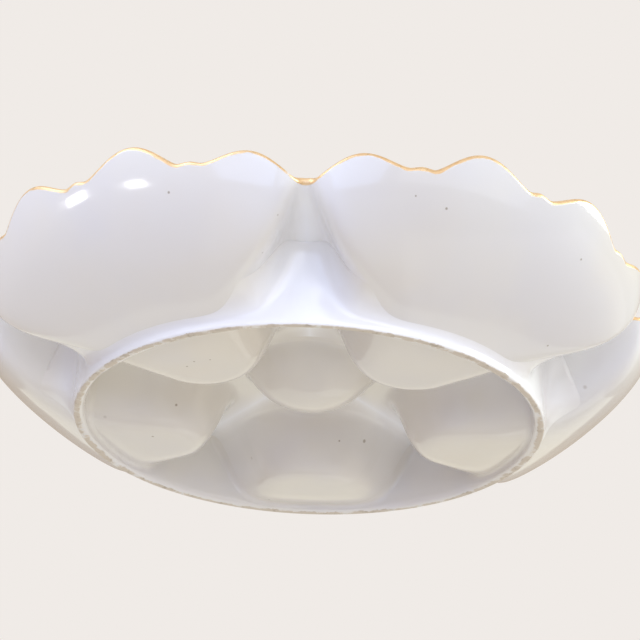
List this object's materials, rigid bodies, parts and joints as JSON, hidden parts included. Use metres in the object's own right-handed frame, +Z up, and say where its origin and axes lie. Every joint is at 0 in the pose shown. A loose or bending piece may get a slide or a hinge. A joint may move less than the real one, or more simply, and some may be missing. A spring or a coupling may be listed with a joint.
{
  "type": "egg holder tray",
  "caption": "Round footed porcelain egg tray: deep lobed basins round a small centre well, on a tall foot ring, with a scalloped rim edged by a thin gold line.",
  "frame": {"origin": "on the table plane, at the middle of the foot ring's tread", "axes": "+Z up along the axis of five-fold symmetry; +Y to the back, through the middle of one lobe, with the crease between two lobes opposite it on -Y; +X to the right as seen from -Y"},
  "size_m": [0.1728, 0.1705, 0.0309],
  "materials": {
    "porcelain": "gloss",
    "gilt": "worn polish"
  },
  "bodies": {
    "root": {"egg_lobe_1": "porcelain", "egg_lobe_2": "porcelain", "egg_lobe_3": "porcelain", "egg_lobe_4": "porcelain", "egg_lobe_5": "porcelain", "centre_well": "porcelain", "foot_ring": "porcelain", "gilt_rim": "gilt"}
  },
  "joints": []
}
